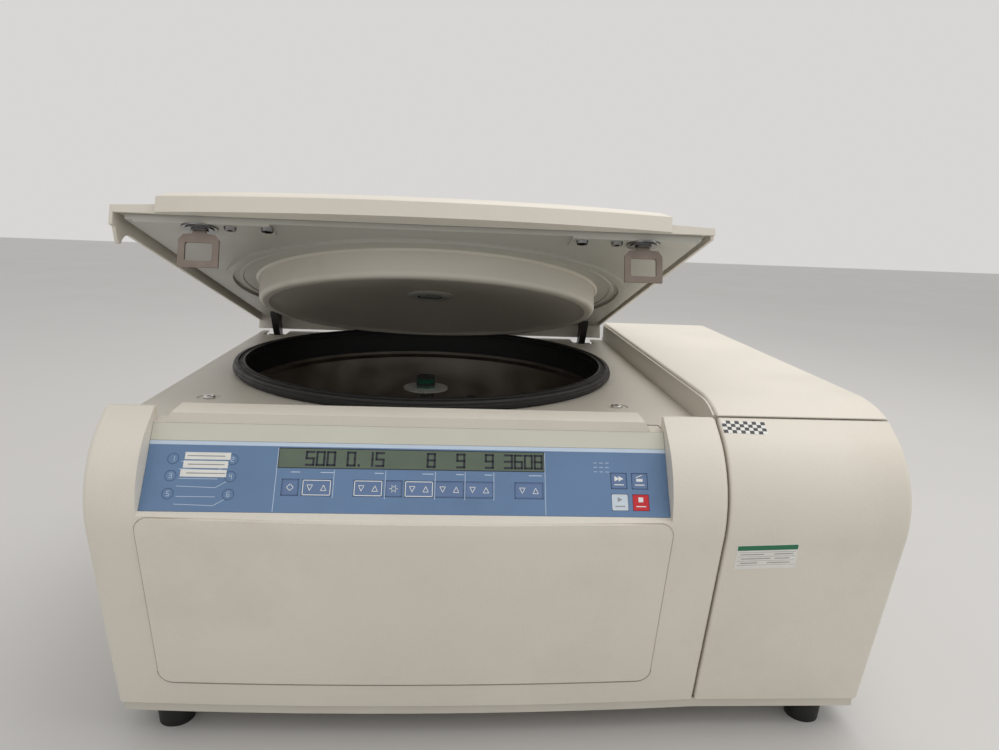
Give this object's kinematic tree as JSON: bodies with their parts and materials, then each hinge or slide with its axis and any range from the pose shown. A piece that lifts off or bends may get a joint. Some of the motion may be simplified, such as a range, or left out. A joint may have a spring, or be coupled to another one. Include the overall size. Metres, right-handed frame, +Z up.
{
  "type": "laboratory centrifuge",
  "caption": "Refrigerated bench-top centrifuge with a hinged lid raised over a round steel bowl, a sloping control panel and a cooling section on the right.",
  "frame": {"origin": "centre of the footprint, at the underside of the feet", "axes": "+Z up; the control panel faces -Y; the cooling section is at +X"},
  "size_m": [0.745, 0.62, 0.5238],
  "materials": {
    "cream_plastic": "fine-textured cream moulding",
    "deck_paint": "warm grey powder coat",
    "lid_paint": "satin grey-green paint",
    "grey_sheet": "grey powder coat",
    "black_rubber": "soft black rubber",
    "bowl_steel": "brushed, slightly dulled",
    "bright_steel": "bright zinc plate",
    "foam": "rigid foam",
    "copper": "copper tube",
    "cast_housing": "as-cast aluminium",
    "green_collar": "green anodised look",
    "black_plastic": "black moulding",
    "plug_plastic": "grey moulding",
    "clear_window": "clear acrylic",
    "blue_panel": "printed membrane film",
    "display_glass": "green-grey display window",
    "board": "circuit board",
    "black_paint": "black paint",
    "aluminium_fins": "fin pack",
    "pale_key": "pale key film",
    "red_key": "red key film",
    "blue_key": "blue key film"
  },
  "bodies": {
    "chassis": {"base_frame": "grey_sheet", "bowl_gasket": "black_rubber", "bowl_insulation": "foam", "bowl_sleeve": "black_rubber", "circuit_boards": "board", "compressor": "black_paint", "condenser": "aluminium_fins", "control_panel": "blue_panel", "cooling_front_cover": "cream_plastic", "cooling_partition": "deck_paint", "cooling_top_cover": "cream_plastic", "deck_plate": "deck_paint", "deck_screws": "bright_steel", "display_window": "display_glass", "evaporator_coil": "copper", "fan_shroud": "black_plastic", "front_cover": "cream_plastic", "hinge_brackets": "grey_sheet", "hinge_springs": "bright_steel", "left_side_panel": "deck_paint", "lock_housings": "black_plastic", "motor_housing": "cast_housing", "pivot_pins": "bright_steel", "power_inlet": "black_plastic", "rear_panel": "deck_paint", "refrigerant_pipes": "copper", "right_side_panel": "deck_paint", "rotor_bowl": "bowl_steel", "rotor_sensor": "black_plastic", "rubber_feet": "black_rubber"},
    "lid": {"hinge_arms": "black_plastic", "lid_shell": "cream_plastic", "lid_handle": "cream_plastic", "lid_inner_panel": "lid_paint", "lid_plug": "plug_plastic", "lid_window_tube": "black_plastic", "lid_window": "clear_window", "strikers": "bright_steel", "lid_fasteners": "black_plastic"},
    "spindle": {"motor_rotor": "bowl_steel", "drive_spindle": "bright_steel", "spindle_disc": "bright_steel", "spindle_collar": "green_collar", "spindle_cap": "black_plastic"},
    "fan": {"fan_rotor": "black_plastic"},
    "hook_left": {"lock_hook_left": "bright_steel"},
    "hook_right": {"lock_hook_right": "bright_steel"},
    "switch": {"mains_switch": "black_plastic"},
    "button_acceleration": {"key_acceleration": "blue_key"},
    "button_braking": {"key_braking": "blue_key"},
    "button_open": {"key_open": "blue_key"},
    "button_precool": {"key_precool": "blue_key"},
    "button_program": {"key_program": "blue_key"},
    "button_pulse": {"key_pulse": "blue_key"},
    "button_radius": {"key_radius": "blue_key"},
    "button_speed": {"key_speed": "blue_key"},
    "button_start": {"key_start": "pale_key"},
    "button_stop": {"key_stop": "red_key"},
    "button_temperature": {"key_temperature": "blue_key"},
    "button_time": {"key_time": "blue_key"}
  },
  "joints": [
    {"name": "lid_hinge", "type": "hinge", "parent": "chassis", "child": "lid", "pos_m": [0, 0.29, 0.302], "axis": [-1, 0, 0], "range_deg": [-17.3, 50]},
    {"name": "spindle_turn", "type": "hinge", "parent": "chassis", "child": "spindle", "pos_m": [-0.091, 0.046, 0.2], "axis": [0, 0, 1], "continuous": true},
    {"name": "fan_turn", "type": "hinge", "parent": "chassis", "child": "fan", "pos_m": [0.284, 0.243, 0.17], "axis": [0, 1, 0], "continuous": true},
    {"name": "hook_left_turn", "type": "hinge", "parent": "chassis", "child": "hook_left", "pos_m": [-0.2965, -0.209, 0.279], "axis": [1, 0, 0], "range_deg": [0, 10]},
    {"name": "hook_right_turn", "type": "hinge", "parent": "chassis", "child": "hook_right", "pos_m": [0.1255, -0.209, 0.279], "axis": [1, 0, 0], "range_deg": [0, 10]},
    {"name": "switch_tip", "type": "hinge", "parent": "chassis", "child": "switch", "pos_m": [-0.24, 0.297, 0.075], "axis": [1, 0, 0], "range_deg": [-20, 0]},
    {"name": "press_acceleration", "type": "slide", "parent": "chassis", "child": "button_acceleration", "axis": [0, 0.8347, -0.5507], "range_m": [0, 0.0006], "stiffness_N_per_m": 300, "springref_m": -0.0005},
    {"name": "press_braking", "type": "slide", "parent": "chassis", "child": "button_braking", "axis": [0, 0.8347, -0.5507], "range_m": [0, 0.0006], "stiffness_N_per_m": 300, "springref_m": -0.0005},
    {"name": "press_open", "type": "slide", "parent": "chassis", "child": "button_open", "axis": [0, 0.8347, -0.5507], "range_m": [0, 0.0006], "stiffness_N_per_m": 300, "springref_m": -0.0005},
    {"name": "press_precool", "type": "slide", "parent": "chassis", "child": "button_precool", "axis": [0, 0.8347, -0.5507], "range_m": [0, 0.0006], "stiffness_N_per_m": 300, "springref_m": -0.0005},
    {"name": "press_program", "type": "slide", "parent": "chassis", "child": "button_program", "axis": [0, 0.8347, -0.5507], "range_m": [0, 0.0006], "stiffness_N_per_m": 300, "springref_m": -0.0005},
    {"name": "press_pulse", "type": "slide", "parent": "chassis", "child": "button_pulse", "axis": [0, 0.8347, -0.5507], "range_m": [0, 0.0006], "stiffness_N_per_m": 300, "springref_m": -0.0005},
    {"name": "press_radius", "type": "slide", "parent": "chassis", "child": "button_radius", "axis": [0, 0.8347, -0.5507], "range_m": [0, 0.0006], "stiffness_N_per_m": 300, "springref_m": -0.0005},
    {"name": "press_speed", "type": "slide", "parent": "chassis", "child": "button_speed", "axis": [0, 0.8347, -0.5507], "range_m": [0, 0.0006], "stiffness_N_per_m": 300, "springref_m": -0.0005},
    {"name": "press_start", "type": "slide", "parent": "chassis", "child": "button_start", "axis": [0, 0.8347, -0.5507], "range_m": [0, 0.0006], "stiffness_N_per_m": 300, "springref_m": -0.0005},
    {"name": "press_stop", "type": "slide", "parent": "chassis", "child": "button_stop", "axis": [0, 0.8347, -0.5507], "range_m": [0, 0.0006], "stiffness_N_per_m": 300, "springref_m": -0.0005},
    {"name": "press_temperature", "type": "slide", "parent": "chassis", "child": "button_temperature", "axis": [0, 0.8347, -0.5507], "range_m": [0, 0.0006], "stiffness_N_per_m": 300, "springref_m": -0.0005},
    {"name": "press_time", "type": "slide", "parent": "chassis", "child": "button_time", "axis": [0, 0.8347, -0.5507], "range_m": [0, 0.0006], "stiffness_N_per_m": 300, "springref_m": -0.0005}
  ]
}
